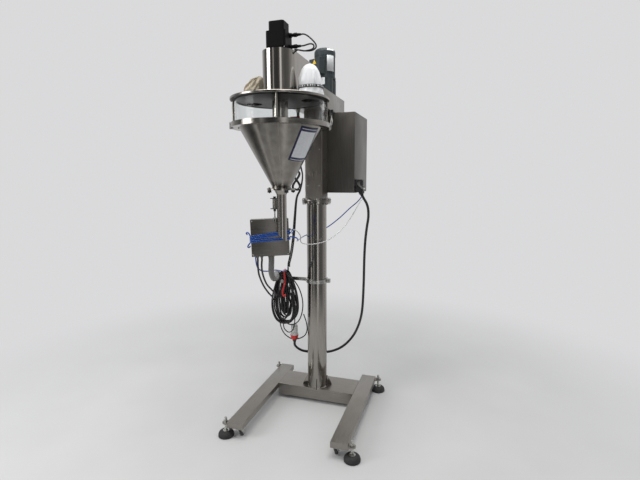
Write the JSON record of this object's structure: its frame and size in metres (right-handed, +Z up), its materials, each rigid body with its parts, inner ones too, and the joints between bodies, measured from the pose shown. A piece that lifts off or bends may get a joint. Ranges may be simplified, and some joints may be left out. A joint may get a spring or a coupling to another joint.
{
  "type": "auger powder filler",
  "caption": "Powder filling head on a column: cone hopper with clear sight ring, belt-driven stirrer and servo auger on an arm, control cabinet behind, H-shaped stand with feet and casters.",
  "frame": {"origin": "on the floor under the middle of the whole machine's outline", "axes": "+Z up, -Y towards the operator and the filling spout, +X to the operator's right"},
  "size_m": [0.928, 1.3946, 2.534],
  "materials": {
    "stand_stainless": "brushed, slightly dull",
    "column_stainless": "polished with long vertical streaks",
    "arm_stainless": "fine brushed",
    "polished_stainless": "bright polished",
    "hopper_stainless": "fine satin",
    "cabinet_stainless": "fine satin",
    "turned_steel": "turned and polished",
    "zinc_fasteners": "bright zinc",
    "foot_rubber": "moulded rubber with a plated stem",
    "caster_steel": "zinc plated",
    "caster_tyre": "moulded",
    "belt_rubber": "moulded",
    "pulley_aluminium": "machined",
    "black_paint": "satin powder coat",
    "green_paint": "semi-gloss paint on cast metal",
    "clear_acrylic": "clear, polished edges",
    "latch_steel": "bright",
    "black_grip": "moulded grip on a steel lever",
    "red_grip": "moulded grip on a steel lever",
    "black_plastic": "fine moulded texture",
    "filter_fabric": "soft woven felt",
    "feed_fabric": "soft woven cotton",
    "cable_rubber": "smooth jacket",
    "plug_plastic": "moulded",
    "blue_hose": "smooth",
    "clear_tubing": "translucent"
  },
  "bodies": {
    "frame": {"left_leg": "stand_stainless", "right_leg": "stand_stainless", "cross_member": "stand_stainless", "column": "column_stainless", "mast_housing": "column_stainless", "frame_fasteners": "zinc_fasteners", "cable_hanger": "column_stainless", "arm_housing": "arm_stainless", "bearing_sleeve": "turned_steel", "drive_belt": "belt_rubber", "motor_cover": "polished_stainless", "servo_motor": "black_paint", "gearbox": "green_paint", "gear_motor": "green_paint", "lid_plate": "hopper_stainless", "sight_ring": "clear_acrylic", "ring_gaskets": "black_plastic", "ring_frame": "turned_steel", "hopper": "hopper_stainless", "latch_bases": "latch_steel", "outlet_clamp": "black_plastic", "filling_tube": "turned_steel", "gate_cylinder": "turned_steel", "cabinet": "cabinet_stainless", "power_connector": "black_plastic", "control_box": "cabinet_stainless", "box_cover": "cabinet_stainless", "filter_cap": "filter_fabric", "feed_cloth": "feed_fabric", "power_cable": "cable_rubber", "mains_plug": "plug_plastic", "cable_hank": "cable_rubber", "air_hose": "blue_hose", "hose_wrap": "blue_hose", "clear_hose": "clear_tubing", "signal_leads": "cable_rubber"},
    "foot_front_left": {"foot_front_left": "foot_rubber"},
    "foot_front_right": {"foot_front_right": "foot_rubber"},
    "foot_rear_left": {"foot_rear_left": "foot_rubber"},
    "foot_rear_right": {"foot_rear_right": "foot_rubber"},
    "caster_fork_front_left": {"caster_fork_front_left": "caster_steel"},
    "caster_wheel_front_left": {"caster_wheel_front_left": "caster_tyre"},
    "caster_fork_front_right": {"caster_fork_front_right": "caster_steel"},
    "caster_wheel_front_right": {"caster_wheel_front_right": "caster_tyre"},
    "caster_fork_rear_left": {"caster_fork_rear_left": "caster_steel"},
    "caster_wheel_rear_left": {"caster_wheel_rear_left": "caster_tyre"},
    "caster_fork_rear_right": {"caster_fork_rear_right": "caster_steel"},
    "caster_wheel_rear_right": {"caster_wheel_rear_right": "caster_tyre"},
    "stirrer": {"stirrer": "turned_steel"},
    "motor_pulley": {"motor_pulley": "pulley_aluminium"},
    "auger": {"auger": "turned_steel"},
    "latch_lever_right": {"latch_lever_right": "black_grip"},
    "latch_loop_right": {"latch_loop_right": "latch_steel"},
    "latch_lever_rear": {"latch_lever_rear": "red_grip"},
    "latch_loop_rear": {"latch_loop_rear": "latch_steel"},
    "gate_rod": {"gate_rod": "turned_steel"},
    "cabinet_door": {"cabinet_door": "cabinet_stainless"},
    "door_lock": {"door_lock": "black_plastic"},
    "connector_lever": {"connector_lever": "latch_steel"}
  },
  "joints": [
    {"name": "foot_front_left_height", "type": "slide", "parent": "frame", "child": "foot_front_left", "axis": [0, 0, 1], "range_m": [-0.015, 0.015]},
    {"name": "foot_front_right_height", "type": "slide", "parent": "frame", "child": "foot_front_right", "axis": [0, 0, 1], "range_m": [-0.015, 0.015]},
    {"name": "foot_rear_left_height", "type": "slide", "parent": "frame", "child": "foot_rear_left", "axis": [0, 0, 1], "range_m": [-0.015, 0.015]},
    {"name": "foot_rear_right_height", "type": "slide", "parent": "frame", "child": "foot_rear_right", "axis": [0, 0, 1], "range_m": [-0.015, 0.015]},
    {"name": "caster_front_left_swivel", "type": "hinge", "parent": "frame", "child": "caster_fork_front_left", "pos_m": [-0.314, -0.40875, 0.06], "axis": [0, 0, 1], "continuous": true},
    {"name": "caster_front_left_roll", "type": "hinge", "parent": "caster_fork_front_left", "child": "caster_wheel_front_left", "pos_m": [-0.314, -0.39475, 0.027], "axis": [1, 0, 0], "continuous": true},
    {"name": "caster_front_right_swivel", "type": "hinge", "parent": "frame", "child": "caster_fork_front_right", "pos_m": [0.314, -0.40875, 0.06], "axis": [0, 0, 1], "continuous": true},
    {"name": "caster_front_right_roll", "type": "hinge", "parent": "caster_fork_front_right", "child": "caster_wheel_front_right", "pos_m": [0.314, -0.39475, 0.027], "axis": [1, 0, 0], "continuous": true},
    {"name": "caster_rear_left_swivel", "type": "hinge", "parent": "frame", "child": "caster_fork_rear_left", "pos_m": [-0.314, 0.39125, 0.06], "axis": [0, 0, 1], "continuous": true},
    {"name": "caster_rear_left_roll", "type": "hinge", "parent": "caster_fork_rear_left", "child": "caster_wheel_rear_left", "pos_m": [-0.314, 0.40525, 0.027], "axis": [1, 0, 0], "continuous": true},
    {"name": "caster_rear_right_swivel", "type": "hinge", "parent": "frame", "child": "caster_fork_rear_right", "pos_m": [0.314, 0.39125, 0.06], "axis": [0, 0, 1], "continuous": true},
    {"name": "caster_rear_right_roll", "type": "hinge", "parent": "caster_fork_rear_right", "child": "caster_wheel_rear_right", "pos_m": [0.314, 0.40525, 0.027], "axis": [1, 0, 0], "continuous": true},
    {"name": "stirrer_spin", "type": "hinge", "parent": "frame", "child": "stirrer", "pos_m": [0, -0.42975, 2.1], "axis": [0, 0, 1], "continuous": true},
    {"name": "motor_pulley_spin", "type": "hinge", "parent": "frame", "child": "motor_pulley", "pos_m": [0, 0.40425, 2.13], "axis": [0, 0, 1], "continuous": true},
    {"name": "auger_spin", "type": "hinge", "parent": "frame", "child": "auger", "pos_m": [0, -0.42975, 1.8], "axis": [0, 0, 1], "continuous": true},
    {"name": "latch_lever_right_swing", "type": "hinge", "parent": "frame", "child": "latch_lever_right", "pos_m": [0.25331, -0.31163, 1.928], "axis": [-0.4226, 0.9063, 0], "range_deg": [0, 110]},
    {"name": "latch_loop_right_swing", "type": "hinge", "parent": "latch_lever_right", "child": "latch_loop_right", "pos_m": [0.25694, -0.30994, 1.948], "axis": [-0.4226, 0.9063, 0], "range_deg": [-110, 0]},
    {"name": "latch_lever_rear_swing", "type": "hinge", "parent": "frame", "child": "latch_lever_rear", "pos_m": [-0.0195, -0.15093, 1.928], "axis": [-0.9976, -0.0698, 0], "range_deg": [0, 110]},
    {"name": "latch_loop_rear_swing", "type": "hinge", "parent": "latch_lever_rear", "child": "latch_loop_rear", "pos_m": [-0.01978, -0.14694, 1.948], "axis": [-0.9976, -0.0698, 0], "range_deg": [-110, 0]},
    {"name": "gate_rod_slide", "type": "slide", "parent": "frame", "child": "gate_rod", "axis": [0, 0, 1], "range_m": [-0.03, 0]},
    {"name": "cabinet_door_swing", "type": "hinge", "parent": "frame", "child": "cabinet_door", "pos_m": [-0.066, 0.66725, 1.8], "axis": [0, 0, 1], "range_deg": [0, 120]},
    {"name": "door_lock_turn", "type": "hinge", "parent": "cabinet_door", "child": "door_lock", "pos_m": [0.208, 0.67925, 1.804], "axis": [0, 1, 0], "range_deg": [0, 90]},
    {"name": "connector_lever_swing", "type": "hinge", "parent": "frame", "child": "connector_lever", "pos_m": [0.284, 0.29925, 1.599], "axis": [0, -1, 0], "range_deg": [0, 75]}
  ],
  "couplings": [
    {"joint": "motor_pulley_spin", "follows": "stirrer_spin", "ratio": 2},
    {"joint": "latch_loop_right_swing", "follows": "latch_lever_right_swing", "ratio": -1},
    {"joint": "latch_loop_rear_swing", "follows": "latch_lever_rear_swing", "ratio": -1}
  ]
}
